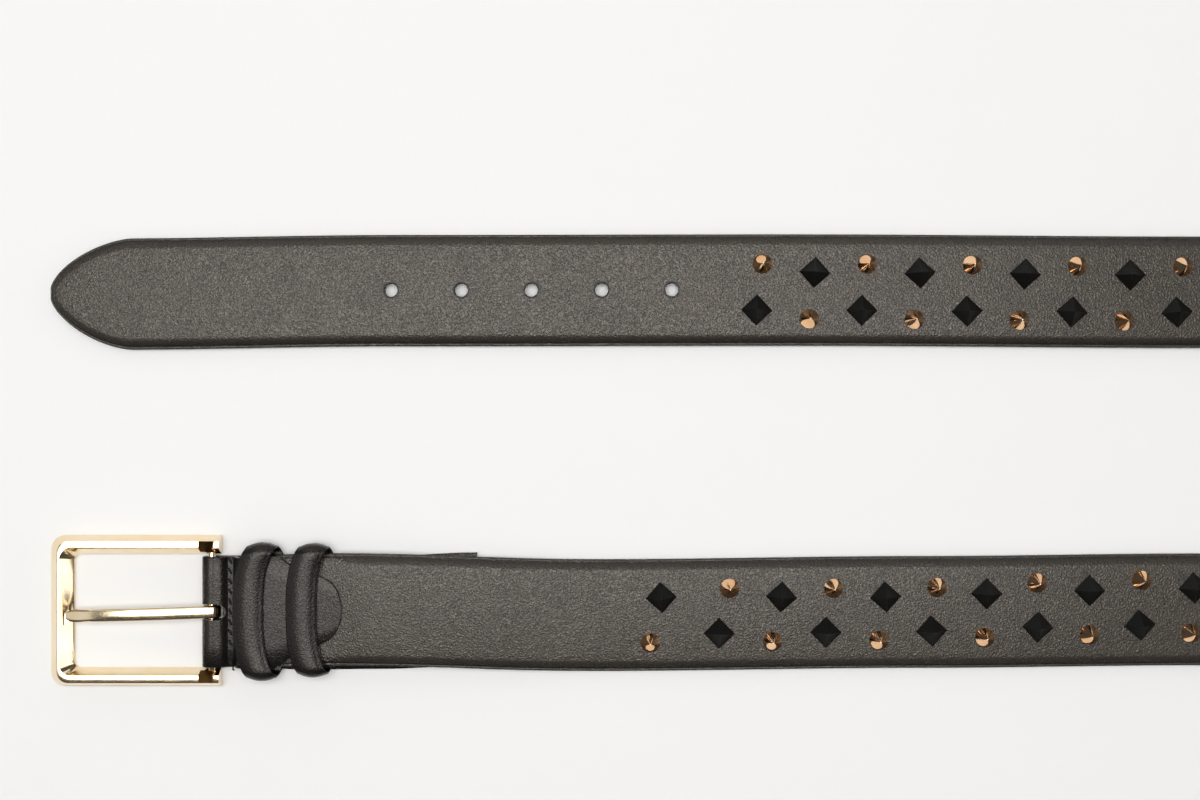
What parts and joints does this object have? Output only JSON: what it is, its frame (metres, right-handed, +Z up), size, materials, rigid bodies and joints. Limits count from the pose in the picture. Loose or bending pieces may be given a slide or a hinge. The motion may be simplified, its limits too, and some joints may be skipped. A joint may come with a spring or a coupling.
{
  "type": "studded leather belt",
  "caption": "Open leather belt lying in a U, padded strap with cone and pyramid studs, punched tip, two keepers and a hinged frame buckle with a prong.",
  "frame": {"origin": "middle of the belt's footprint, on the table it lies on", "axes": "+X along the two runs, away from the buckle and the tip; +Y from the buckle run to the tip run; +Z up"},
  "size_m": [0.5338, 0.1422, 0.0351],
  "materials": {
    "face_leather": "semi-matt padded black leather, fine grain",
    "back_leather": "matt black lining leather with painted edges",
    "gold_metal": "polished pale gold plating",
    "cone_metal": "polished rose gold plating",
    "pyramid_metal": "matt black coating",
    "thread": "waxed black thread"
  },
  "bodies": {
    "strap": {"strap_face": "face_leather", "strap_back": "back_leather", "chape": "face_leather", "keeper_1": "face_leather", "keeper_2": "face_leather"},
    "buckle": {"buckle_frame": "gold_metal", "buckle_bar": "gold_metal"},
    "prong": {"buckle_prong": "gold_metal"}
  },
  "joints": [
    {"name": "buckle_hinge", "type": "hinge", "parent": "strap", "child": "buckle", "pos_m": [-0.21576, -0.04732, 0.003], "axis": [0, 1, 0], "range_deg": [-115, 30]},
    {"name": "prong_hinge", "type": "hinge", "parent": "buckle", "child": "prong", "pos_m": [-0.21576, -0.04732, 0.003], "axis": [0, 1, 0], "range_deg": [0, 75]}
  ]
}
